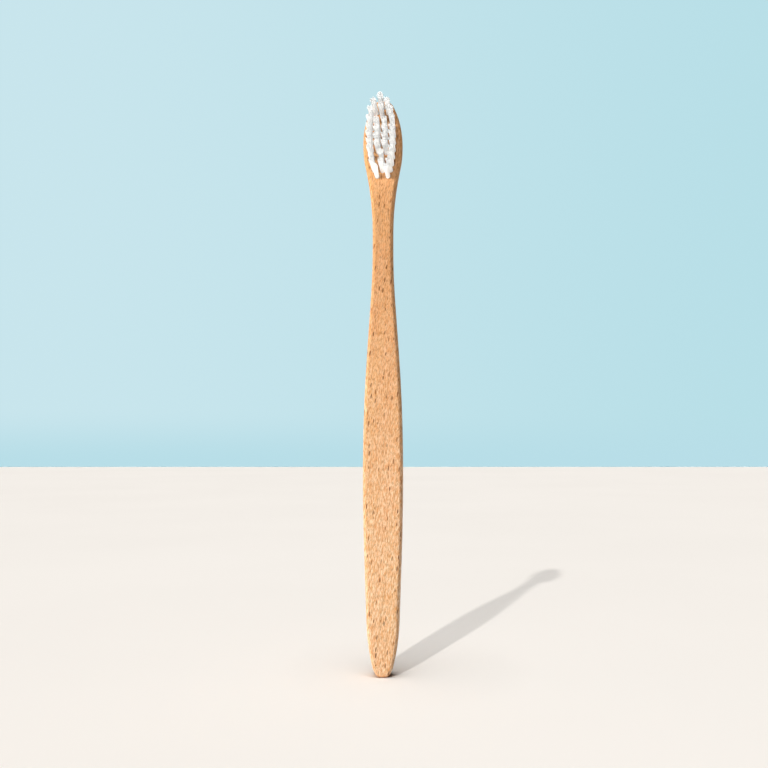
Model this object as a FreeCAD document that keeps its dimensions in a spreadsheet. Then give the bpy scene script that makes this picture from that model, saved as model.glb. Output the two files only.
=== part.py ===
import FreeCAD, Part
import math
import os
import Sketcher
from FreeCAD import Placement, Rotation, Vector

# Manual toothbrush: a one-piece beech handle with a tufted head.
# The brush stands on its tail. Z runs along its length, bristles point to -Y and X runs across.
# The origin is the middle of the tail foot.

# Driving sizes, in millimetres. Lengths of the outline follow each other from the foot to the toe.
SIZES = {
    "foot_flat": 1.9,
    "foot_corner_extra": 0.8,
    "tail_width": 10.1,
    "tail_height": 10.0,
    "tail_length": 42.2,
    "grip_width": 13.0,
    "grip_length": 33.1,
    "flank_length": 46.6,
    "neck_width": 6.7,
    "neck_length": 24.1,
    "neck_run": 8.07,
    "head_thinning": 1.0,
    "edge_radius": 1.2,
    "rim_land": 0.7,
    "tuft_hole_diameter": 1.7,
    "back_wall": 2.1,
    "column_web": 0.8,
    "row_web": 0.74,
    "tuft_clearance": 0.03,
    "bristle_length": 12.5,
    "fold_depth": 0.5,
    "anchor_cover": 1.5,
    "anchor_depth": 1.4,
    "anchor_bite": 0.12,
    "anchor_thickness": 0.3,
    "anchor_clearance": 0.02,
    "cut_overrun": 5.0,
}

# Where the tufts stand on the head: columns from the middle and rows down from the toe tuft, in pitches
RIM_COLUMN_SHARES = (0.82, 1.24, 1.44, 1.50, 1.50, 1.46, 1.38, 1.25, 1.08, 0.72)
RIM_ROW_SHARES = (0.73, 1.79, 2.90, 4.00, 4.96, 5.94, 6.92, 7.86, 8.68, 9.50)
CORE_COLUMN_SHARE = 0.5
CORE_ROW_SHARES = (3.28, 4.26, 5.24, 6.22)
CENTRE_ROW_SHARES = (1.24, 7.60, 8.72)
TOE_COLUMN_SHARE = 1.06
SHOULDER_ROW_SHARE = 2.2
FLANK_ROW_SHARE = 6.65

FOOT_CORNER_SHARE = 0.8
THINNING_SHARES = (0.16, 0.585)
TIP_FLARE_SHARE = 0.08
BUNDLE_SIDES = 8

doc = FreeCAD.newDocument("toothbrush")
sheet = doc.addObject("Spreadsheet::Sheet", "size")
for line, (alias, value) in enumerate(SIZES.items(), start=1):
    sheet.set(f"A{line}", alias)
    sheet.set(f"B{line}", str(value))
    sheet.setAlias(f"B{line}", alias)
doc.recompute()

# Formulas that several pieces share
HOLE_RADIUS = "(size.tuft_hole_diameter / 2)"
HOLE_DEPTH = "(size.anchor_cover + size.anchor_depth + size.fold_depth)"
HEAD_THICKNESS = f"({HOLE_DEPTH} + size.back_wall)"
HANDLE_THICKNESS = f"({HEAD_THICKNESS} + size.head_thinning)"
FRONT = f"(-{HANDLE_THICKNESS} / 2)"
BACK = f"({HANDLE_THICKNESS} / 2)"
HEAD_BACK = f"({FRONT} + {HEAD_THICKNESS})"
COLUMN_PITCH = "(size.tuft_hole_diameter + size.column_web)"
ROW_PITCH = "(size.tuft_hole_diameter + size.row_web)"
RIM_MARGIN = f"(size.edge_radius + size.rim_land + {HOLE_RADIUS})"
FOOT_CORNER_RADIUS = "(size.edge_radius + size.foot_corner_extra)"
FOOT_HALF = f"(size.foot_flat / 2 + {FOOT_CORNER_SHARE} * {FOOT_CORNER_RADIUS})"
TAIL_HALF = "(size.tail_width / 2)"
GRIP_HALF = "(size.grip_width / 2)"
NECK_HALF = "(size.neck_width / 2)"
HEAD_HALF = f"({max(RIM_COLUMN_SHARES)} * {COLUMN_PITCH} + {RIM_MARGIN})"
TOE_HALF = f"({TOE_COLUMN_SHARE} * {COLUMN_PITCH})"
GRIP_BOTTOM = "(size.tail_height + size.tail_length)"
GRIP_TOP = f"({GRIP_BOTTOM} + size.grip_length)"
NECK_BOTTOM = f"({GRIP_TOP} + size.flank_length)"
NECK_TOP = f"({NECK_BOTTOM} + size.neck_length)"
TOE_TUFT = f"({NECK_TOP} + size.neck_run + {max(RIM_ROW_SHARES)} * {ROW_PITCH})"
TOE = f"({TOE_TUFT} + {RIM_MARGIN})"
ANCHOR_WIDTH = "(size.tuft_hole_diameter + 2 * size.anchor_bite)"
ANCHOR_TOP = "size.anchor_cover"
ANCHOR_BOTTOM = f"({ANCHOR_TOP} + size.anchor_depth)"

# The corners of the outline from the toe down the right side, each with its place and with the shares
# that its rounding may take of the straight run before it and of the run after it
OUTLINE_CORNERS = (
    ((TOE_HALF, TOE), (0.45, 0.31)),
    ((HEAD_HALF, f"({TOE_TUFT} - {SHOULDER_ROW_SHARE} * {ROW_PITCH})"), (0.66, 0.56)),
    ((HEAD_HALF, f"({TOE_TUFT} - {FLANK_ROW_SHARE} * {ROW_PITCH})"), (0.31, 0.25)),
    ((NECK_HALF, NECK_TOP), (0.70, 0.50)),
    ((NECK_HALF, NECK_BOTTOM), (0.40, 0.15)),
    ((GRIP_HALF, GRIP_TOP), (0.41, 0.57)),
    ((GRIP_HALF, GRIP_BOTTOM), (0.39, 0.31)),
    ((TAIL_HALF, "size.tail_height"), (0.20, 0.70)),
)
FOOT_CORNER = (FOOT_HALF, "0")


def measure(formula):
    """Gives the value of a formula at the sheet's present sizes."""
    return float(sheet.evalExpression(formula))


def mirrored(place):
    """Gives the place on the left that matches one on the right."""
    across, along = place
    return (f"(-{across})", along)


def corner_turn(before, corner, after):
    """Gives the formulas of the runs before and after a corner, and of the tangent of half its turn."""
    into = [f"({end} - {start})" for start, end in zip(before, corner)]
    out = [f"({end} - {start})" for start, end in zip(corner, after)]
    run_before = f"hypot({into[0]}; {into[1]})"
    run_after = f"hypot({out[0]}; {out[1]})"
    dot = f"({into[0]} * {out[0]} + {into[1]} * {out[1]})"
    cross = f"abs({into[0]} * {out[1]} - {into[1]} * {out[0]})"
    return run_before, run_after, f"({cross} / ({run_before} * {run_after} + {dot}))"


def place_between(first, second, share):
    """Gives the place at a share of the way from one place to another."""
    return tuple(f"({start} + ({end} - {start}) * {share})" for start, end in zip(first, second))


def corner_arc(before, corner, after, reach, radius):
    """Gives an arc that rounds a corner: its first and last places, the corner and the radius."""
    run_before, run_after = corner_turn(before, corner, after)[:2]
    first = place_between(corner, before, f"{reach} / {run_before}")
    last = place_between(corner, after, f"{reach} / {run_after}")
    return first, last, corner, radius


def outline_arcs():
    """Gives the arcs that round the outline's corners, down the right side and up the left."""
    corners = [place for place, shares in OUTLINE_CORNERS]
    before = [mirrored(corners[0])] + corners[:-1]
    after = corners[1:] + [FOOT_CORNER]
    arcs = []
    for start, (corner, shares), end in zip(before, OUTLINE_CORNERS, after):
        run_before, run_after, turn = corner_turn(start, corner, end)
        reach = f"min({shares[0]} * {run_before}; {shares[1]} * {run_after})"
        arcs.append(corner_arc(start, corner, end, reach, f"{reach} / {turn}"))
    foot = (corners[-1], FOOT_CORNER, mirrored(FOOT_CORNER))
    reach = f"{FOOT_CORNER_RADIUS} * {corner_turn(*foot)[2]}"
    arcs.append(corner_arc(*foot, reach, FOOT_CORNER_RADIUS))
    left = [(mirrored(last), mirrored(first), mirrored(corner), radius) for first, last, corner, radius in arcs]
    return arcs + left[::-1]


def sketch_on(body, name, role, lift="0"):
    """Makes a sketch on one of the body's own planes, lifted along the plane's normal."""
    plane = next(feature for feature in body.Origin.OriginFeatures if feature.Role == role)
    sketch = body.newObject("Sketcher::SketchObject", name)
    sketch.AttachmentSupport = (plane, [""])
    sketch.MapMode = "FlatFace"
    sketch.setExpression(".AttachmentOffset.Base.z", lift)
    return sketch


def pin(sketch, pins):
    """Binds points of a sketch, each a geometry, a point and its pair of formulas, across and along."""
    constraints = []
    formulas = []
    for geometry, point, place in pins:
        for kind, formula in zip(("DistanceX", "DistanceY"), place):
            constraints.append(Sketcher.Constraint(kind, -1, 1, geometry, point, measure(formula)))
            formulas.append(formula)
    for index, formula in zip(sketch.addConstraint(constraints), formulas):
        sketch.setExpression(f"Constraints[{index}]", formula)


def spot(place):
    """Gives the sketch point at a pair of formulas."""
    across, along = place
    return Vector(measure(across), measure(along), 0)


def add_rounded_run(sketch, arcs):
    """Draws a closed run of arcs with straight edges between them, and pins each arc."""
    ends = []
    pins = []
    rounds = []
    for first, last, corner, radius in arcs:
        points = [spot(first), spot(last)]
        outward = spot(corner) - (points[0] + points[1]) / 2
        reach = (points[0] - spot(corner)).Length
        sagitta = math.hypot(reach, measure(radius)) - measure(radius)
        middle = spot(corner) - outward.normalize() * sagitta
        arc = sketch.addGeometry(Part.Arc(points[0], middle, points[1]), False)
        away = [(sketch.getPoint(arc, vertex) - points[0]).Length for vertex in (1, 2)]
        order = (1, 2) if away[0] < away[1] else (2, 1)
        ends.append(((arc, order[0]), (arc, order[1])))
        pins.extend([(arc, order[0], first), (arc, order[1], last)])
        rounds.append((arc, radius))
    joints = []
    for (start, leaving), (arriving, end) in zip(ends, ends[1:] + ends[:1]):
        line = Part.LineSegment(sketch.getPoint(*leaving), sketch.getPoint(*arriving))
        edge = sketch.addGeometry(line, False)
        joints.append(Sketcher.Constraint("Coincident", edge, 1, *leaving))
        joints.append(Sketcher.Constraint("Coincident", edge, 2, *arriving))
    sketch.addConstraint(joints)
    pin(sketch, pins)
    for arc, radius in rounds:
        index = sketch.addConstraint(Sketcher.Constraint("Radius", arc, measure(radius)))
        sketch.setExpression(f"Constraints[{index}]", radius)


def is_along(edge, direction):
    """Tells whether an edge is a straight line along a direction."""
    if not isinstance(edge.Curve, Part.Line):
        return False
    return edge.Curve.Direction.cross(direction).Length < Part.Precision.confusion()


def round_edges(body, name, edges, radius):
    """Rounds named edges of the body's last feature."""
    base = body.Tip
    fillet = body.newObject("PartDesign::Fillet", name)
    fillet.Base = (base, edges)
    fillet.setExpression("Radius", radius)
    doc.recompute()


def saw_outline(body):
    """Saws a plank to the outline."""
    outline = sketch_on(body, "outline", "XZ_Plane")
    add_rounded_run(outline, outline_arcs())
    plank = body.newObject("PartDesign::Pad", "plank")
    plank.Profile = outline
    plank.SideType = "Symmetric"
    plank.setExpression("Length", HANDLE_THICKNESS)
    doc.recompute()


def rim_edges(shape):
    """Names the edges round the front and the back, without the seams that cross from face to face."""
    names = []
    for number, edge in enumerate(shape.Edges, start=1):
        is_end = min(edge.CenterOfMass.z, measure(TOE) - edge.CenterOfMass.z) < Part.Precision.approximation()
        crosses_back = is_along(edge, Vector(1, 0, 0)) and not is_end
        if not is_along(edge, Vector(0, 1, 0)) and not crosses_back:
            names.append(f"Edge{number}")
    return names


def draw_back_waste(sketch):
    """Draws, from the side, the waste behind the head and neck: a pair of arcs leads from the back to the head."""
    clear = f"({BACK} + size.cut_overrun)"
    above = f"({TOE} + size.cut_overrun)"
    end, start = [f"({NECK_BOTTOM} - {share} * size.flank_length)" for share in THINNING_SHARES]
    places = [(HEAD_BACK, end), (HEAD_BACK, above), (clear, above), (clear, start), (BACK, start)]
    bend = (f"({BACK} - size.head_thinning / 2)", f"(({start} + {end}) / 2)")
    length = measure(f"{end} - {start}")
    radius = (length ** 2 / measure("size.head_thinning") + measure("size.head_thinning")) / 4
    turn = math.asin(length / 2 / radius)
    points = [spot(place) for place in places]
    lower = Part.Circle(points[-1] - Vector(radius, 0, 0), Vector(0, 0, 1), radius)
    upper = Part.Circle(points[0] + Vector(radius, 0, 0), Vector(0, 0, 1), radius)

    lines = [Part.LineSegment(first, second) for first, second in zip(points, points[1:])]
    edges = list(sketch.addGeometry(lines, False))
    leaving = sketch.addGeometry(Part.ArcOfCircle(lower, 0, turn), False)
    arriving = sketch.addGeometry(Part.ArcOfCircle(upper, math.pi, math.pi + turn), False)
    joints = [Sketcher.Constraint("Coincident", first, 2, second, 1) for first, second in zip(edges, edges[1:])]
    joints.append(Sketcher.Constraint("Perpendicular", edges[-1], 2, leaving, 1))
    joints.append(Sketcher.Constraint("Tangent", edges[0], 1, arriving, 1))
    joints.append(Sketcher.Constraint("Coincident", leaving, 2, arriving, 2))
    sketch.addConstraint(joints)
    pin(sketch, [(edge, 1, place) for edge, place in zip(edges, places)])
    pin(sketch, [(edges[-1], 2, places[-1]), (leaving, 2, bend)])


def thin_back(body):
    """Planes the back of the head and neck down, then rounds over the front and back rims."""
    waste = sketch_on(body, "back_waste", "YZ_Plane")
    draw_back_waste(waste)
    planed = body.newObject("PartDesign::Pocket", "planed_back")
    planed.Profile = waste
    planed.SideType = "Symmetric"
    planed.Type = "ThroughAll"
    doc.recompute()
    round_edges(body, "rounded_rims", rim_edges(body.Tip.Shape), "size.edge_radius")


def drill_tuft_holes(body, places):
    """Drills one blind hole for each tuft."""
    centres = sketch_on(body, "tuft_centres", "XZ_Plane", BACK)
    circles = [Part.Circle(spot(place), Vector(0, 0, 1), measure(HOLE_RADIUS)) for name, place in places]
    rings = centres.addGeometry(circles, False)
    pin(centres, [(ring, 3, place) for ring, (name, place) in zip(rings, places)])
    centres.addConstraint([Sketcher.Constraint("Equal", rings[0], ring) for ring in rings[1:]])
    index = centres.addConstraint(Sketcher.Constraint("Radius", rings[0], measure(HOLE_RADIUS)))
    centres.setExpression(f"Constraints[{index}]", HOLE_RADIUS)
    doc.recompute()

    holes = body.newObject("PartDesign::Hole", "tuft_holes")
    holes.Profile = centres
    holes.DepthType = "Dimension"
    holes.DrillPoint = "Flat"
    holes.setExpression("Diameter", "size.tuft_hole_diameter")
    holes.setExpression("Depth", HOLE_DEPTH)


def plate_box(name, place, top, slack):
    """Makes a box across a tuft's hole, from a depth under the face to the anchor's foot, with slack round it."""
    across, along = place
    width = f"({ANCHOR_WIDTH} + 2 * {slack})"
    thickness = f"(size.anchor_thickness + 2 * {slack})"
    box = doc.addObject("Part::Box", name)
    box.setExpression("Length", width)
    box.setExpression("Width", f"{ANCHOR_BOTTOM} + {slack} - {top}")
    box.setExpression("Height", thickness)
    box.setExpression(".Placement.Base.x", f"{across} - {width} / 2")
    box.setExpression(".Placement.Base.y", f"{FRONT} + {top}")
    box.setExpression(".Placement.Base.z", f"{along} - {thickness} / 2")
    return box


def plate_group(name, prefix, places, top, slack):
    """Makes one such box at every tuft, as a group."""
    group = doc.addObject("Part::Compound", name)
    group.Links = [plate_box(tuft.replace("tuft", prefix), place, top, slack) for tuft, place in places]
    return group


def make_handle(places):
    """Makes the handle: sawn and rounded wood, drilled for the tufts and slit by each anchor plate."""
    wood = doc.addObject("PartDesign::Body", "wood")
    saw_outline(wood)
    thin_back(wood)
    drill_tuft_holes(wood, places)
    handle = doc.addObject("Part::Cut", "handle")
    handle.Base = wood
    handle.Tool = plate_group("anchor_tracks", "track", places, "(-size.cut_overrun)", "size.anchor_clearance")
    return handle


def make_tuft(name, place):
    """Makes one tuft: a bundle that fills its hole, spreads to the tip and folds round its anchor plate."""
    across, along = place
    shank = f"({HOLE_RADIUS} - size.tuft_clearance)"
    flare = f"({TIP_FLARE_SHARE} * size.row_web)"
    outlines = (
        ("fold", f"({shank} - {flare} * {HOLE_DEPTH} / size.bristle_length)", HOLE_DEPTH),
        ("tip", f"({shank} + {flare})", "(-size.bristle_length)"),
    )
    sections = []
    for station, radius, depth in outlines:
        section = doc.addObject("Part::RegularPolygon", f"{name}_{station}")
        section.Polygon = BUNDLE_SIDES
        section.setExpression("Circumradius", radius)
        section.Placement = Placement(Vector(), Rotation(Vector(1, 0, 0), 90))
        section.setExpression(".Placement.Base.x", across)
        section.setExpression(".Placement.Base.y", f"{FRONT} + {depth}")
        section.setExpression(".Placement.Base.z", along)
        sections.append(section)
    bundle = doc.addObject("Part::Loft", f"{name}_bundle")
    bundle.Sections = sections
    bundle.Solid = True
    bundle.Ruled = True

    tuft = doc.addObject("Part::Cut", name)
    tuft.Base = bundle
    window_top = f"({ANCHOR_TOP} - size.anchor_clearance)"
    tuft.Tool = plate_box(f"{name}_window", place, window_top, "size.anchor_clearance")
    return tuft


def tuft_places():
    """Gives each tuft's name and its place on the face of the head, across and along."""
    shares = [("tuft_toe", 0, 0)]
    for number, (column, row) in enumerate(zip(RIM_COLUMN_SHARES, RIM_ROW_SHARES), start=1):
        shares.append((f"tuft_rim_left_{number:02d}", -column, row))
        shares.append((f"tuft_rim_right_{number:02d}", column, row))
    for number, row in enumerate(CORE_ROW_SHARES, start=1):
        shares.append((f"tuft_core_left_{number}", -CORE_COLUMN_SHARE, row))
        shares.append((f"tuft_core_right_{number}", CORE_COLUMN_SHARE, row))
    for number, row in enumerate(CENTRE_ROW_SHARES, start=1):
        shares.append((f"tuft_centre_{number}", 0, row))
    return [
        (name, (f"({column} * {COLUMN_PITCH})", f"({TOE_TUFT} - {row} * {ROW_PITCH})"))
        for name, column, row in shares
    ]


places = tuft_places()
handle = make_handle(places)
tufts = [make_tuft(name, place) for name, place in places]
anchor_plates = plate_group("anchor_plates", "plate", places, ANCHOR_TOP, "0")
doc.recompute()

failed = [thing.Name for thing in doc.Objects if {"Invalid", "Error"} & set(thing.State)]
if failed:
    raise RuntimeError(f"these did not rebuild: {failed}")
sub_parts = [handle, *tufts, anchor_plates]
for sub_part in sub_parts:
    if sub_part.Shape.isNull() or not sub_part.Shape.isValid():
        raise RuntimeError(f"{sub_part.Label} has no sound shape")

os.makedirs("parts", exist_ok=True)
for sub_part in sub_parts:
    sub_part.Shape.exportStep(f"parts/{sub_part.Label}.step")
    print(sub_part.Label, len(sub_part.Shape.Solids), round(sub_part.Shape.Volume, 3))
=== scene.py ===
# %% [markdown]
# # A wooden toothbrush
# The brush is one piece of beech with a head of nylon tufts, and it stands on the small flat end of its
# tail. Its rigid solids are made elsewhere and come in as a fixed frame, so this lesson only dresses them:
# it gives them finishes, rounds the foot in a copy of the handle, and puts a bundle of filaments in the
# place of each plain tuft. The frame is loaded first, because every new piece takes its place from the
# solids. The dressed brush has to stay inside it.

# %% Load the frame
import math
import random

import bmesh
import bpy
from mathutils import Matrix, Vector


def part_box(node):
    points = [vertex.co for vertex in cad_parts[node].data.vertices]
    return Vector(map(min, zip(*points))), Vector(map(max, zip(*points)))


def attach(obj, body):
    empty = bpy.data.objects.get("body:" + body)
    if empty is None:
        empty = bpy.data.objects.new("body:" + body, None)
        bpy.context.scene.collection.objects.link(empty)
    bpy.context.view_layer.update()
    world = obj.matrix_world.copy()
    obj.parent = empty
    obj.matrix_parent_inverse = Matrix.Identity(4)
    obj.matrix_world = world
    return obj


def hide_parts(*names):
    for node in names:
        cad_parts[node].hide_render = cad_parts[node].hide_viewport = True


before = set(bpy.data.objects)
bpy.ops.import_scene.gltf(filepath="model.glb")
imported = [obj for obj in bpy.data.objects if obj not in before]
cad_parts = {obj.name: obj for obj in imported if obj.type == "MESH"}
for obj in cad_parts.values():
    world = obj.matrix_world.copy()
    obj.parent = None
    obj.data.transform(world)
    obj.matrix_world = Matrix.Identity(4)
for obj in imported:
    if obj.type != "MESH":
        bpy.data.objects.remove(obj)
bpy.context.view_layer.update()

MM = 0.001
face_of_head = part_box("handle")[0].y
tuft_names = sorted(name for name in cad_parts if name.startswith("tuft"))


def in_mm(lengths):
    """Gives lengths in millimetres, for printing."""
    return [round(length / MM, 2) for length in lengths]


print("tufts in the frame:", len(tuft_names))

# %% [markdown]
# ## The camera
# The picture is taken from close by, level with the lower half of the handle, and a few degrees to the
# right of straight on. A short distance matters here: it lifts the bristle tips above their roots, so the
# tufts show their length although they point almost at the camera. The lens is given in pixels of the
# square picture, because that is how it was measured, and is turned into millimetres of the sensor. The
# brush stands a pixel and a half to the left of the picture's middle, so the camera looks past it by that
# much.

# %% Set up the camera
PICTURE_PIXELS = 768
LENS_PIXELS = 912
ASIDE_PIXELS = 1.5
SENSOR_WIDTH = 36
CAMERA_DISTANCE = 298.6 * MM
CAMERA_HEIGHT = 76.4 * MM
CAMERA_TURN = math.radians(4)
CAMERA_TILT = math.radians(93.53)

view_data = bpy.data.cameras.new("view")
view_data.sensor_width = SENSOR_WIDTH
view_data.lens = SENSOR_WIDTH * LENS_PIXELS / PICTURE_PIXELS
view = bpy.data.objects.new("view", view_data)
bpy.context.scene.collection.objects.link(view)
bpy.context.scene.camera = view

to_the_side = CAMERA_DISTANCE * math.sin(CAMERA_TURN)
to_the_front = CAMERA_DISTANCE * math.cos(CAMERA_TURN)
view.location = (to_the_side, face_of_head - to_the_front, CAMERA_HEIGHT)
view.rotation_euler = (CAMERA_TILT, 0, CAMERA_TURN - ASIDE_PIXELS / LENS_PIXELS)
print("lens in mm:", round(view_data.lens, 2), "camera in mm:", in_mm(view.location))

# %% [markdown]
# ## Nodes in one line
# A material is a tree of nodes, and most nodes need the same three steps: make it, set its menus, and fill
# or link its sockets. One small helper does all three, so that each finish below reads like a recipe. A
# value that is a socket is linked, and any other value is typed in.

# %% Helpers for node trees
FULL = (0.0, 1.0)


def add_node(tree, kind, inputs=None, **menus):
    """Adds a node, sets its menus, and fills or links its sockets."""
    node = tree.nodes.new(kind)
    for name, value in menus.items():
        setattr(node, name, value)
    for socket, value in (inputs or {}).items():
        if isinstance(value, bpy.types.NodeSocket):
            tree.links.new(value, node.inputs[socket])
        else:
            node.inputs[socket].default_value = value
    return node


def mix_colours(tree, share, first, second):
    """Mixes two colours by a share from 0 to 1."""
    return add_node(tree, "ShaderNodeMix", {0: share, 6: first, 7: second}, data_type="RGBA").outputs[2]


def spread(tree, value, from_range, to_range=FULL, curve="SMOOTHSTEP"):
    """Maps one range of values onto another."""
    low, high = from_range
    to_low, to_high = to_range
    inputs = {"Value": value, "From Min": low, "From Max": high, "To Min": to_low, "To Max": to_high}
    return add_node(tree, "ShaderNodeMapRange", inputs, interpolation_type=curve).outputs["Result"]


def calculate(tree, operation, first, second=0.0):
    """Works out one value from one or two."""
    return add_node(tree, "ShaderNodeMath", {0: first, 1: second}, operation=operation).outputs[0]


def combine(tree, operation, first, second):
    """Works out one vector from two."""
    return add_node(tree, "ShaderNodeVectorMath", {0: first, 1: second}, operation=operation).outputs[0]


def start_material(name):
    """Makes a material and gives its tree, its shader and its Object coordinates in millimetres."""
    material = bpy.data.materials.new(name)
    material.use_nodes = True
    tree = material.node_tree
    shader = tree.nodes["Principled BSDF"]
    metres = add_node(tree, "ShaderNodeTexCoord").outputs["Object"]
    to_mm = {"Vector": metres, "Scale": (1 / MM, 1 / MM, 1 / MM)}
    place = add_node(tree, "ShaderNodeMapping", to_mm).outputs[0]
    return material, tree, shader, place


print("node helpers ready")

# %% [markdown]
# ## A mottle that every finish shares
# No real surface is one even colour. Wood, nylon, metal and a painted floor all drift a little from spot
# to spot, only at different sizes. That drift is one noise texture in a node group, with the size of its
# spots and a seed as its inputs, built once and placed in each material.

# %% Build the mottle group
MOTTLE_DETAIL = 3.0
MOTTLE_ROUGHNESS = 0.55
MOTTLE_RANGE = (0.3, 0.7)


def build_mottle():
    """Makes the group that gives a soft value between 0 and 1 over the surface."""
    group = bpy.data.node_groups.new("soft_mottle", "ShaderNodeTree")
    group.interface.new_socket("Place", in_out="INPUT", socket_type="NodeSocketVector")
    group.interface.new_socket("Stretch", in_out="INPUT", socket_type="NodeSocketVector")
    group.interface.new_socket("Seed", in_out="INPUT", socket_type="NodeSocketFloat")
    group.interface.new_socket("Mottle", in_out="OUTPUT", socket_type="NodeSocketFloat")
    inside = add_node(group, "NodeGroupInput")
    noise_inputs = {
        "Vector": combine(group, "DIVIDE", inside.outputs["Place"], inside.outputs["Stretch"]),
        "W": inside.outputs["Seed"],
        "Scale": 1.0,
        "Detail": MOTTLE_DETAIL,
        "Roughness": MOTTLE_ROUGHNESS,
    }
    noise = add_node(group, "ShaderNodeTexNoise", noise_inputs, noise_dimensions="4D")
    soft = spread(group, noise.outputs["Fac"], MOTTLE_RANGE)
    add_node(group, "NodeGroupOutput", {"Mottle": soft})
    return group


soft_mottle = build_mottle()


def mottle(tree, place, spots, seed):
    """Places the mottle group: spots is the size of its spots along each axis, in millimetres."""
    inputs = {"Place": place, "Stretch": spots, "Seed": seed}
    return add_node(tree, "ShaderNodeGroup", inputs, node_tree=soft_mottle).outputs["Mottle"]


print("group:", soft_mottle.name)

# %% [markdown]
# ## The colour of the board
# Beech is pale, pinkish and even. Its colour drifts slowly between honey and pink, long thin lines of
# growth run up the board, and short pale streaks and darker fibres lie along the grain. One big pattern
# for all of them would be hard to tune. So each is the mottle again, stretched along the grain to a size
# of its own, and they are laid over each other one by one. The lower handle is paler, partly as a paler
# part of the board and partly as painted light, so the streaks grow stronger and the fibres weaker on the
# way down.

# %% Colour the board
HONEY = (0.76, 0.365, 0.125, 1)
PINK = (0.75, 0.340, 0.132, 1)
PALE = (0.95, 0.73, 0.49, 1)
BROWN = (0.42, 0.170, 0.050, 1)
DRIFT_SPOTS = (5.0, 9.0, 42.0)
GROWTH_SPOTS = (0.55, 0.8, 40.0)
GROWTH_RANGE = (0.35, 1.0)
GROWTH_SHARES = (0.0, 0.2)
STREAK_SHARES = (0.40, 1.0)
FIBRE_RANGE = (0.40, 1.0)
FIBRE_SHARES = (0.7, 0.55)


def colour_board(tree, grain, low_down, streaks, fibres):
    """Gives the colour of the board without its flecks."""
    drift = mottle(tree, grain, DRIFT_SPOTS, seed=1.0)
    growth = mottle(tree, grain, GROWTH_SPOTS, seed=10.0)
    colour = mix_colours(tree, drift, HONEY, PINK)
    # Paler lower down: partly the board's own colour, partly painted light.
    streak_share = spread(tree, low_down, FULL, STREAK_SHARES, "LINEAR")
    colour = mix_colours(tree, calculate(tree, "MULTIPLY", streaks, streak_share), colour, PALE)
    colour = mix_colours(tree, spread(tree, growth, GROWTH_RANGE, GROWTH_SHARES), colour, BROWN)
    strong_fibres = spread(tree, fibres, FIBRE_RANGE)
    fibre_share = spread(tree, low_down, FULL, FIBRE_SHARES, "LINEAR")
    return mix_colours(tree, calculate(tree, "MULTIPLY", strong_fibres, fibre_share), colour, BROWN)


print("colours of the board:", len({HONEY, PINK, PALE, BROWN}))

# %% [markdown]
# ## Ray flecks
# What tells beech from other woods are its ray flecks: short brown spindles along the grain where a ray
# runs out at the surface. A ray is a thin upright blade inside the tree, narrow across, a few millimetres
# tall and deep from front to back. So each fleck is made as such a blade in space, round the point of a
# Voronoi cell, and not painted on the face: the front then shows slim spindles and the sides show broad
# ones, as on a real board. Chance decides which cells have one, and how big and dark it is. A blade fades
# where its cell ends, so that none is cut off straight.

# %% Make ray flecks
FLECK_SIZES = (0.5, 1.2)
FLECK_DEPTHS = (0.45, 1.0)
SOFT_EDGE = (1.0, 0.6)
WALL_FADE = (0.0, 0.12)


def ray_flecks(tree, place, cell, half, amount, seed):
    """Gives a mask of blades, from the sizes of a cell and of half a blade in millimetres."""
    moved = combine(tree, "ADD", place, (seed, seed, seed))
    scaled = combine(tree, "DIVIDE", moved, cell)
    layout = {"Vector": scaled, "Scale": 1.0, "Randomness": 1.0}
    cells = add_node(tree, "ShaderNodeTexVoronoi", layout)
    walls = add_node(tree, "ShaderNodeTexVoronoi", layout, feature="DISTANCE_TO_EDGE").outputs["Distance"]
    offset = combine(tree, "SUBTRACT", scaled, cells.outputs["Position"])
    shape = tuple(size / part for size, part in zip(cell, half))
    offset = combine(tree, "MULTIPLY", offset, shape)
    reach = add_node(tree, "ShaderNodeVectorMath", {0: offset}, operation="LENGTH").outputs["Value"]
    chance = add_node(tree, "ShaderNodeSeparateColor", {"Color": cells.outputs["Color"]})
    size = spread(tree, chance.outputs["Green"], FULL, FLECK_SIZES, "LINEAR")
    blade = spread(tree, calculate(tree, "DIVIDE", reach, size), SOFT_EDGE)
    there = calculate(tree, "LESS_THAN", chance.outputs["Red"], amount)
    depth = spread(tree, chance.outputs["Blue"], FULL, FLECK_DEPTHS, "LINEAR")
    depth = calculate(tree, "MULTIPLY", depth, spread(tree, walls, WALL_FADE))
    return calculate(tree, "MULTIPLY", calculate(tree, "MULTIPLY", blade, there), depth)


print("smallest and biggest fleck, as shares of a blade:", FLECK_SIZES)

# %% [markdown]
# ## Long and short flecks
# The board has a few long dark flecks and many short light brown ones. They crowd together in patches, and
# there are more of the short ones lower down. Two layers of blades with cells of different sizes do this
# more simply than one layer with a wide range of sizes. On the narrow sides a ray is cut along its blade
# and shows as a pale satin patch, so the surface normal takes most of the long flecks' colour away there.

# %% Scatter the flecks
PATCH_SPOTS = (3.0, 8.0, 9.0)
PATCH_RANGE = (0.1, 0.8)
CROWDS = (0.6, 1.2)
SHORT_AMOUNTS = (0.60, 0.80)
LONG_AMOUNT = 0.45
SHORT_CELL = (0.85, 0.60, 1.9)
SHORT_HALF = (0.25, 0.30, 0.75)
LONG_CELL = (1.7, 6.0, 3.6)
LONG_HALF = (0.25, 5.0, 1.15)
NARROW_SIDE = (0.5, 0.95)
SIDE_SHARES = (1.0, 0.2)


def facing(tree, axis):
    """Gives how squarely the surface faces along an axis, from 0 to 1."""
    normal = add_node(tree, "ShaderNodeNewGeometry").outputs["Normal"]
    along = add_node(tree, "ShaderNodeSeparateXYZ", {"Vector": normal}).outputs[axis]
    return calculate(tree, "ABSOLUTE", along)


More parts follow.
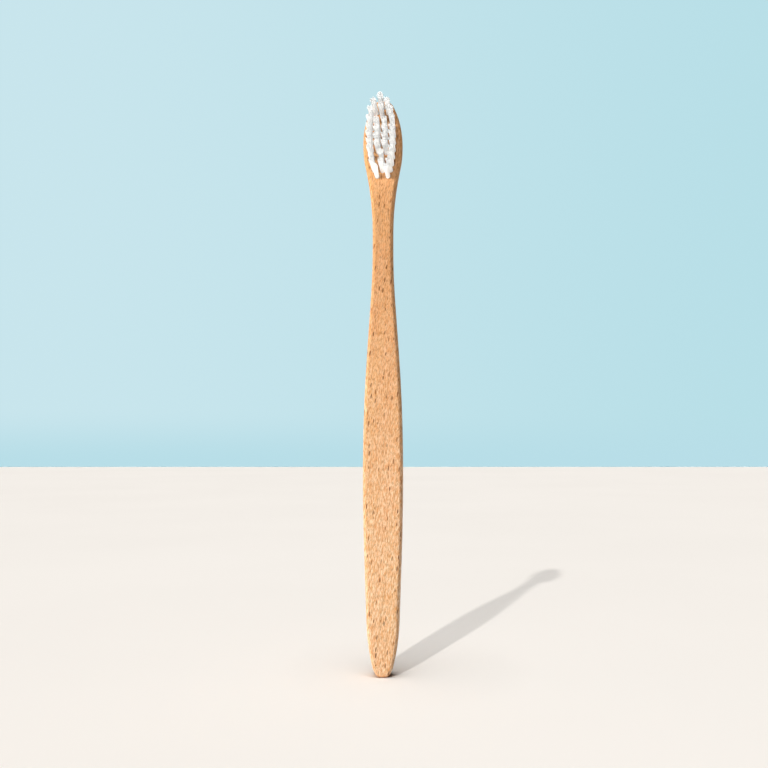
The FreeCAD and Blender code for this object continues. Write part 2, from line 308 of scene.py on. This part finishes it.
def scatter_flecks(tree, grain, low_down):
    """Gives the masks of the long dark flecks and of the short brown ones."""
    crowd = spread(tree, mottle(tree, grain, PATCH_SPOTS, seed=4.0), PATCH_RANGE, CROWDS)
    many = calculate(tree, "MULTIPLY", crowd, spread(tree, low_down, FULL, SHORT_AMOUNTS, "LINEAR"))
    few = calculate(tree, "MULTIPLY", crowd, LONG_AMOUNT)
    short = ray_flecks(tree, grain, SHORT_CELL, SHORT_HALF, many, seed=37.0)
    long = ray_flecks(tree, grain, LONG_CELL, LONG_HALF, few, seed=0.0)
    cut_across = spread(tree, facing(tree, "X"), NARROW_SIDE, SIDE_SHARES)
    return calculate(tree, "MULTIPLY", long, cut_across), short


print("half a long and half a short fleck in mm:", LONG_HALF, SHORT_HALF)

# %% [markdown]
# ## The finish of the handle
# Now the layers come together: the board, the short flecks, a dust of tiny pores, and the long flecks with
# a rusty rim and a dark core. They lean a little to the right, because the board wasn't sawn quite along
# the grain. Where the surface faces up or down, at the toe and the foot, the wood is darker: partly the
# end grain, which soaks up more oil, and partly painted shade on the rounded rims of the foot and the toe.
# The wood is sanded and oiled: a soft gloss, a little duller in the flecks. Flecks and pores are fine
# pits, far too small to model, so a bump of two hundredths of a millimetre stands for them.

# %% Lay the flecks over the board
RUST = (0.36, 0.115, 0.018, 1)
DARK = (0.11, 0.032, 0.004, 1)
SHORT_SHARE = 0.7
PORE_RANGE = (0.7, 1.0)
PORE_SHARES = (0.0, 0.35)
RIM_RANGE = (0.0, 0.35)
RIM_SHARES = (0.0, 0.75)
CORE_RANGE = (0.3, 1.0)
CORE_SHARES = (0.0, 0.9)
END_GRAIN_AND_SHADE = (0.10, 0.85)
END_AND_SHADE_SHARES = (0.0, 0.65)


def lay_flecks(tree, colour, long, short, pores):
    """Gives the colour of the wood, with its flecks, its pores, and its darker ends: end grain and painted
    shade.
    """
    colour = mix_colours(tree, calculate(tree, "MULTIPLY", short, SHORT_SHARE), colour, BROWN)
    colour = mix_colours(tree, spread(tree, pores, PORE_RANGE, PORE_SHARES), colour, BROWN)
    colour = mix_colours(tree, spread(tree, long, RIM_RANGE, RIM_SHARES), colour, RUST)
    colour = mix_colours(tree, spread(tree, long, CORE_RANGE, CORE_SHARES), colour, DARK)
    # Darker where the surface faces up or down: partly end grain, partly painted shade on the rims of the
    # foot and the toe.
    return mix_colours(tree, spread(tree, facing(tree, "Z"), END_GRAIN_AND_SHADE, END_AND_SHADE_SHARES), colour, BROWN)


print("colours of the flecks:", len({BROWN, RUST, DARK}))

# %% Make the beech finish
GRAIN_LEAN = math.radians(-7)
DOWN_THE_HANDLE = (150.0, 20.0)
STREAK_SPOTS = (0.38, 0.45, 1.8)
FIBRE_SPOTS = (0.30, 0.32, 1.1)
PORE_SPOTS = (0.09, 0.2, 0.30)
OILED_ROUGHNESS = (0.46, 0.56)
FLECK_ROUGHNESS = 0.12
FIBRE_RELIEF = 0.4
BUMP_STRENGTH = 0.35
BUMP_HEIGHT = 0.02 * MM


def make_beech():
    """Makes the finish of sanded and oiled beech."""
    material, tree, shader, place = start_material("oiled_beech")
    leaned = {"Vector": place, "Rotation": (0, GRAIN_LEAN, 0)}
    grain = add_node(tree, "ShaderNodeMapping", leaned).outputs[0]
    height = add_node(tree, "ShaderNodeSeparateXYZ", {"Vector": place}).outputs["Z"]
    low_down = spread(tree, height, DOWN_THE_HANDLE)
    streaks = mottle(tree, grain, STREAK_SPOTS, seed=2.0)
    fibres = mottle(tree, grain, FIBRE_SPOTS, seed=3.0)
    pores = mottle(tree, grain, PORE_SPOTS, seed=5.0)
    long, short = scatter_flecks(tree, grain, low_down)
    board = colour_board(tree, grain, low_down, streaks, fibres)
    tree.links.new(lay_flecks(tree, board, long, short, pores), shader.inputs["Base Color"])

    flecks = calculate(tree, "MAXIMUM", long, short)
    dull = calculate(tree, "MULTIPLY", flecks, FLECK_ROUGHNESS)
    rough = calculate(tree, "ADD", spread(tree, streaks, FULL, OILED_ROUGHNESS), dull)
    tree.links.new(rough, shader.inputs["Roughness"])
    pits = calculate(tree, "ADD", pores, flecks)
    relief = calculate(tree, "SUBTRACT", calculate(tree, "MULTIPLY", fibres, FIBRE_RELIEF), pits)
    bump_inputs = {"Strength": BUMP_STRENGTH, "Distance": BUMP_HEIGHT, "Height": relief}
    bump = add_node(tree, "ShaderNodeBump", bump_inputs)
    tree.links.new(bump.outputs["Normal"], shader.inputs["Normal"])
    shader.inputs["IOR"].default_value = 1.45
    return material


oiled_beech = make_beech()
print("beech nodes:", len(oiled_beech.node_tree.nodes))

# %% [markdown]
# ## The end of the tail
# The last few millimetres of the tail are sanded by hand, so the foot's corners are a little rounder than
# a sawn outline gives. The handle could be modelled anew, but the solid has everything else right. So a
# copy takes its place: its loose triangles are merged, a few level cuts give the tail the points that a
# curve needs, and these points are drawn in towards the middle, most of all at the foot. The normals that
# the copy brought no longer fit and are dropped. Edges that turn by more than 30 degrees stay sharp, and
# weighted normals keep the flat faces flat beside their round edges.

# %% Helpers for meshes
def everything(mesh):
    """Gives all points, edges and faces of a mesh, for a cut through the whole of it."""
    return mesh.verts[:] + mesh.edges[:] + mesh.faces[:]


def shade_smooth(mesh):
    """Shades every face of a mesh smooth."""
    for face in mesh.faces:
        face.smooth = True


def make_object(name, mesh, material):
    """Makes an object of a mesh that is ready, and gives it its finish."""
    data = bpy.data.meshes.new(name)
    mesh.to_mesh(data)
    mesh.free()
    data.materials.append(material)
    thing = bpy.data.objects.new(name, data)
    bpy.context.scene.collection.objects.link(thing)
    return thing


print("mesh helpers ready")

# %% Round the foot
TAIL_END = 3.0 * MM
LEVEL_CUTS = 6
DRAWN_IN = 0.18
DRAWN_CURVE = 1.2
MERGE_DISTANCE = 0.001 * MM
SHARP_ANGLE = math.radians(30)


def sand_foot():
    """Makes a copy of the handle with rounder corners at its foot, in place of the solid."""
    mesh = bmesh.new()
    mesh.from_mesh(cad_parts["handle"].data)
    bmesh.ops.remove_doubles(mesh, verts=mesh.verts[:], dist=MERGE_DISTANCE)
    for cut in range(1, LEVEL_CUTS + 1):
        level = (0, 0, TAIL_END * cut / LEVEL_CUTS)
        parts = everything(mesh)
        bmesh.ops.bisect_plane(mesh, geom=parts, dist=MERGE_DISTANCE, plane_co=level, plane_no=(0, 0, 1))
    for point in mesh.verts:
        share = max(0.0, 1 - point.co.z / TAIL_END)
        point.co.x *= 1 - DRAWN_IN * share ** DRAWN_CURVE
    shade_smooth(mesh)
    handle = make_object("handle_sanded", mesh, oiled_beech)
    old_normals = handle.data.attributes.get("custom_normal")
    if old_normals:
        handle.data.attributes.remove(old_normals)
    handle.data.set_sharp_from_angle(angle=SHARP_ANGLE)
    handle.modifiers.new("flat_faces", "WEIGHTED_NORMAL").keep_sharp = True
    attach(handle, "root")
    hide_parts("handle")
    return handle


handle = sand_foot()
print("points of the handle:", len(handle.data.vertices), "faces:", len(handle.data.polygons))

# %% [markdown]
# ## Anchor plates
# A tuft is folded round a small metal plate that is driven across its hole. The plates lie deep in the
# head and hardly show, but they are there. Their solids have the right shape, so they only get the finish
# of sheared brass strip: a warm yellow with a few dull spots, and fine drawn lines along the strip. The
# lines go into the roughness and not into the colour, because what shows on a metal is mostly its
# reflections.

# %% Make the brass finish
BRIGHT_BRASS = (0.78, 0.62, 0.30, 1)
DULL_BRASS = (0.52, 0.38, 0.17, 1)
DRAWN_LINES = (2.0, 0.03, 2.0)
DULL_SPOTS = (0.5, 0.4, 0.5)
BRASS_ROUGHNESS = (0.25, 0.5)


def make_brass():
    """Makes the finish of drawn brass strip."""
    material, tree, shader, place = start_material("drawn_brass")
    lines = mottle(tree, place, DRAWN_LINES, seed=6.0)
    spots = mottle(tree, place, DULL_SPOTS, seed=7.0)
    tree.links.new(mix_colours(tree, spots, BRIGHT_BRASS, DULL_BRASS), shader.inputs["Base Color"])
    tree.links.new(spread(tree, lines, FULL, BRASS_ROUGHNESS, "LINEAR"), shader.inputs["Roughness"])
    shader.inputs["Metallic"].default_value = 1.0
    return material


drawn_brass = make_brass()
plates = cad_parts["anchor_plates"]
plates.data.materials.clear()
plates.data.materials.append(drawn_brass)
print("brass nodes:", len(drawn_brass.node_tree.nodes))

# %% [markdown]
# ## One filament
# A tuft is a bundle of nylon filaments, each a fifth of a millimetre thick, with a tip that is ground
# round so that it doesn't scratch. One filament is enough to model: a small disc is extruded along the
# bristle, ring by ring, and the last rings are drawn in to round the tip. Each ring has its place as a
# share of the bristle's length, and its share of the full width. The filament has six sides and few rings,
# because it will be repeated over a thousand times.

# %% Model one filament
FILAMENT_RADIUS = 0.095 * MM
FILAMENT_SIDES = 6
ROOT_DEPTH = 1.4 * MM
BRISTLE_LENGTH = face_of_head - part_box(tuft_names[0])[0].y
RINGS = [(0.0, 1.0), (0.35, 1.0), (0.7, 1.0), (0.985, 1.0), (0.995, 0.75), (1.0, 0.35)]


def model_filament():
    """Extrudes one straight filament along -Y from its root, with the hole's mouth at the origin."""
    mesh = bmesh.new()
    root = Matrix.Translation((0, ROOT_DEPTH, 0)) @ Matrix.Rotation(math.radians(90), 4, "X")
    bmesh.ops.create_circle(
        mesh, cap_ends=True, segments=FILAMENT_SIDES, radius=FILAMENT_RADIUS, matrix=root
    )
    end = mesh.faces[:][0]
    width = 1.0
    for number, (along, share) in enumerate(RINGS):
        grown = bmesh.ops.extrude_face_region(mesh, geom=[end])["geom"]
        # The first disc stays and closes the root. A later one would be a wall inside the filament.
        if number > 0:
            bmesh.ops.delete(mesh, geom=[end], context="FACES_ONLY")
        ring = [part for part in grown if isinstance(part, bmesh.types.BMVert)]
        end = next(part for part in grown if isinstance(part, bmesh.types.BMFace))
        bmesh.ops.translate(mesh, verts=ring, vec=(0, -along * BRISTLE_LENGTH - ring[0].co.y, 0))
        bmesh.ops.scale(mesh, verts=ring, vec=(share / width, 1, share / width))
        width = share
    bmesh.ops.recalc_face_normals(mesh, faces=mesh.faces[:])
    shade_smooth(mesh)
    filament = bpy.data.meshes.new("filament")
    mesh.to_mesh(filament)
    mesh.free()
    return filament


filament = model_filament()
print("faces of a filament:", len(filament.polygons), "length in mm:", round(BRISTLE_LENGTH / MM, 2))

# %% [markdown]
# ## Nylon
# The filaments are milky white nylon. Light goes a little way into them, so their shade is soft, and no
# two are quite the same white. That tone belongs to a filament and not to a spot in space, so it is kept
# as an attribute on the filament's own points, and the material reads it from there.

# %% Make the nylon finish
WARM_WHITE = (0.95, 0.935, 0.90, 1)
COOL_WHITE = (0.83, 0.845, 0.85, 1)
CLOUD_SPOTS = (0.8, 3.0, 0.8)
TONE_SHARE = 0.7
CLOUD_SHARE = 0.3
NYLON_ROUGHNESS = (0.34, 0.46)


def make_nylon():
    """Makes the finish of white nylon filaments."""
    material, tree, shader, place = start_material("white_nylon")
    tone = add_node(tree, "ShaderNodeAttribute", attribute_name="tone").outputs["Fac"]
    cloud = mottle(tree, place, CLOUD_SPOTS, seed=8.0)
    tone_part = calculate(tree, "MULTIPLY", tone, TONE_SHARE)
    share = calculate(tree, "ADD", tone_part, calculate(tree, "MULTIPLY", cloud, CLOUD_SHARE))
    tree.links.new(mix_colours(tree, share, WARM_WHITE, COOL_WHITE), shader.inputs["Base Color"])
    tree.links.new(spread(tree, cloud, FULL, NYLON_ROUGHNESS, "LINEAR"), shader.inputs["Roughness"])
    shader.inputs["Subsurface Weight"].default_value = 0.35
    shader.inputs["Subsurface Radius"].default_value = (1.0, 0.95, 0.9)
    shader.inputs["Subsurface Scale"].default_value = 0.4 * MM
    shader.inputs["IOR"].default_value = 1.53
    return material


white_nylon = make_nylon()
print("nylon nodes:", len(white_nylon.node_tree.nodes))

# %% [markdown]
# ## The tufts
# A machine packs the filaments into a round hole and trims them level. Packed round things sit evenly,
# which a sunflower's seeds do by one rule: turn by the golden angle, and step outwards by a square root.
# Each filament is set by that rule, turned a little, and leaned outwards more the further it stands from
# the middle, so that the bundle opens towards its tips. Each tuft has its own seed, so no two are alike
# and every run gives the same brush.

# %% Bundle the filaments into tufts
FILAMENTS = 46
PACK_RADIUS = 0.72 * MM
GOLDEN_ANGLE = math.radians(137.508)
OPENING = 0.25
TUFT_LEAN = 0.08 * MM
FILAMENT_SWAY = 0.10 * MM
BEND_CURVE = 1.6
SHORTEST_TRIM = 0.985


def stray(chance, amount):
    """Gives a step sideways by chance, usually not much longer than the amount."""
    return Vector((chance.gauss(0, amount), 0, chance.gauss(0, amount)))


def bundle_tuft(name, seed):
    """Makes one tuft in place of its solid."""
    chance = random.Random(seed)
    low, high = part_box(name)
    centre = Vector(((low.x + high.x) / 2, face_of_head, (low.z + high.z) / 2))
    lean = stray(chance, TUFT_LEAN)
    mesh = bmesh.new()
    tone = mesh.verts.layers.float.new("tone")
    for number in range(FILAMENTS):
        first = len(mesh.verts)
        mesh.from_mesh(filament)
        mesh.verts.ensure_lookup_table()
        points = mesh.verts[first:]
        angle = number * GOLDEN_ANGLE
        away = PACK_RADIUS * math.sqrt((number + 0.5) / FILAMENTS)
        place = Vector((away * math.cos(angle), 0, away * math.sin(angle)))
        sway = place * OPENING + lean + stray(chance, FILAMENT_SWAY)
        trim = chance.uniform(SHORTEST_TRIM, 1.0)
        shade = chance.random()
        bmesh.ops.rotate(mesh, verts=points, matrix=Matrix.Rotation(chance.uniform(0, math.tau), 3, "Y"))
        for point in points:
            if point.co.y < 0:
                point.co.y *= trim
            along = max(0.0, -point.co.y / BRISTLE_LENGTH)
            point.co += place + sway * along ** BEND_CURVE
            point[tone] = shade
    bmesh.ops.translate(mesh, verts=mesh.verts[:], vec=centre)
    tuft = make_object(f"{name}_filaments", mesh, white_nylon)
    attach(tuft, "root")
    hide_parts(name)
    return tuft


tufts = [bundle_tuft(name, seed) for seed, name in enumerate(tuft_names)]
print("tufts:", len(tufts), "faces in all:", sum(len(tuft.data.polygons) for tuft in tufts))

# %% [markdown]
# ## The floor
# The brush stands on a plain pale floor that ends in the distance, below a plain pale sky. The floor is
# one wide round disc about the camera, so that its edge is a level line all round. Far behind the brush
# its edge is cut straight, square to the view, because a near round edge would show as a bow in the
# picture. A faint mottle gives the shadow a soft ground.

# %% Lay the floor
CREAM = (0.885, 0.850, 0.810, 1)
CREAM_SHADE = (0.870, 0.835, 0.795, 1)
FLOOR_SPOTS = (240.0, 240.0, 240.0)
FLOOR_SIDES = 128
FLOOR_RADIUS = 3.0
FLOOR_BACK = 2.63


def make_floor_finish():
    """Makes the dull cream finish of the floor."""
    material, tree, shader, place = start_material("pale_floor")
    drift = mottle(tree, place, FLOOR_SPOTS, seed=9.0)
    tree.links.new(mix_colours(tree, drift, CREAM, CREAM_SHADE), shader.inputs["Base Color"])
    shader.inputs["Roughness"].default_value = 0.9
    shader.inputs["Specular IOR Level"].default_value = 0.1
    return material


def lay_floor():
    """Makes the floor, round about the camera and cut straight behind the brush."""
    mesh = bmesh.new()
    bmesh.ops.create_circle(mesh, cap_ends=True, segments=FLOOR_SIDES, radius=FLOOR_RADIUS)
    ahead = Vector((-math.sin(CAMERA_TURN), math.cos(CAMERA_TURN), 0))
    parts = everything(mesh)
    bmesh.ops.bisect_plane(mesh, geom=parts, plane_co=ahead * FLOOR_BACK, plane_no=ahead, clear_outer=True)
    bmesh.ops.translate(mesh, verts=mesh.verts[:], vec=(view.location.x, view.location.y, 0))
    floor = make_object("floor", mesh, make_floor_finish())
    return floor


floor = lay_floor()
print("floor reaches back to m:", round(max(corner.co.y for corner in floor.data.vertices), 2))

# %% [markdown]
# ## The light
# Light comes from the left, almost level, so the left edge of the handle is bright, the right edge is
# dark, and the tufts shade the right of the head. One lamp can't do all that the picture shows, because so
# low a light would throw a long shadow over the floor. So this side light is linked to the wood and its
# plates alone. The floor has its own light from the front left, high enough to lay a short pale shadow,
# and a light from above keeps it bright. What bounces off the floor fills the shaded side of the wood, as
# a pale table does, and a light from behind keeps the plain back from going dull. The side light and the
# back light have their gloss switched off, because seen from the other side they would draw a white line
# along the edges.
#
# Nylon passes light on from filament to filament, so white tufts have hardly any shade between them. That
# is slow to work out, so the tufts get a light of their own instead: a wide soft disc close in front of
# and below the head, which casts no shadow.
#
# The light tree, by which Cycles chooses among lights, is switched off: together with linked lights it
# gave one of two slightly different pictures by chance, and the brush should look the same each run.

# %% Helpers for lights
def add_sun(name, azimuth, elevation, strength, angle, colour):
    """Adds a soft sun: azimuth turns from the front of the brush to its left, all angles in degrees."""
    data = bpy.data.lights.new(name, "SUN")
    data.energy = strength
    data.angle = math.radians(angle)
    data.color = colour
    sun = bpy.data.objects.new(name, data)
    side = math.radians(azimuth)
    rise = math.radians(elevation)
    towards = Vector((-math.sin(side) * math.cos(rise), -math.cos(side) * math.cos(rise), math.sin(rise)))
    sun.rotation_euler = towards.to_track_quat("Z", "Y").to_euler()
    bpy.context.scene.collection.objects.link(sun)
    return sun


def add_disc_light(name, place, target, size, strength):
    """Adds a soft round light that faces a target, casts no shadow and isn't seen by the camera."""
    data = bpy.data.lights.new(name, "AREA")
    data.shape = "DISK"
    data.size = size
    data.energy = strength
    data.use_shadow = False
    disc = bpy.data.objects.new(name, data)
    disc.location = place
    disc.rotation_euler = (place - target).to_track_quat("Z", "Y").to_euler()
    disc.visible_camera = False
    bpy.context.scene.collection.objects.link(disc)
    return disc


def light_only(light, name, pieces):
    """Links a light to a few objects, so that it reaches nothing else."""
    lit = bpy.data.collections.new(name)
    for piece in pieces:
        lit.objects.link(piece)
    light.light_linking.receiver_collection = lit


print("light helpers ready")

# %% Set up the light
WARM = (1.0, 0.97, 0.93)
MILD = (1.0, 0.98, 0.95)
NEAR_WHITE = (1.0, 0.99, 0.975)
HEAD_HEIGHT = 176 * MM
DISC_PLACE = Vector((-60, -120, 60)) * MM
DISC_SIZE = 240 * MM

side_light = add_sun("side_light", azimuth=58, elevation=2, strength=3.86, angle=6, colour=WARM)
floor_light = add_sun("floor_light", azimuth=18.5, elevation=35.7, strength=1.4, angle=1.2, colour=MILD)
top_light = add_sun("top_light", azimuth=20, elevation=84, strength=2.45, angle=25, colour=NEAR_WHITE)
back_light = add_sun("back_light", azimuth=180, elevation=12, strength=1.3, angle=6, colour=MILD)
for light in (side_light, back_light):
    light.visible_glossy = False
tips_of_head = Vector((0, face_of_head - BRISTLE_LENGTH, HEAD_HEIGHT))
tuft_light = add_disc_light("tuft_light", DISC_PLACE, tips_of_head, DISC_SIZE, strength=0.50)
light_only(side_light, "lit_from_the_side", [handle, plates])
light_only(back_light, "lit_from_behind", [handle, plates])
light_only(floor_light, "lit_floor", [floor])
light_only(tuft_light, "lit_tufts", tufts)
bpy.context.scene.cycles.use_light_tree = False

# %% [markdown]
# ## The sky
# Behind the floor is plain pale blue, a shade paler on the left, where the light comes from, and a shade
# deeper just above the floor. A painted wall would do, but the sky of the scene needs no mesh and fills
# the picture from every side. The camera sees it at full strength, but it lights the brush far less and
# without its blue, because the backdrop of a studio stands far off. The Light Path node tells the two
# apart. The picture's tones are shown as they are, so that white nylon and cream floor stay white and
# cream.

# %% Set up the sky
SKY_LEFT = (0.580, 0.785, 0.845, 1)
SKY_RIGHT = (0.475, 0.735, 0.800, 1)
SKY_LOW = (0.480, 0.730, 0.805, 1)
SKY_FILL = (0.03, 0.0325, 0.035, 1)
LEFT_TO_RIGHT = (-0.45, 0.45)
DOWN_TO_FLOOR = (0.035, -0.025)

sky = bpy.data.worlds.new("sky")
sky.use_nodes = True
sky_tree = sky.node_tree
direction = add_node(sky_tree, "ShaderNodeTexCoord").outputs["Generated"]
compass = add_node(sky_tree, "ShaderNodeSeparateXYZ", {"Vector": direction})
to_the_right = spread(sky_tree, compass.outputs["X"], LEFT_TO_RIGHT)
near_the_floor = spread(sky_tree, compass.outputs["Z"], DOWN_TO_FLOOR)
backdrop = mix_colours(sky_tree, to_the_right, SKY_LEFT, SKY_RIGHT)
backdrop = mix_colours(sky_tree, near_the_floor, backdrop, SKY_LOW)
seen = add_node(sky_tree, "ShaderNodeLightPath").outputs["Is Camera Ray"]
sky_colour = mix_colours(sky_tree, seen, SKY_FILL, backdrop)
sky_tree.links.new(sky_colour, sky_tree.nodes["Background"].inputs["Color"])
bpy.context.scene.world = sky
bpy.context.scene.view_settings.view_transform = "Standard"
print("sky nodes:", len(sky_tree.nodes))
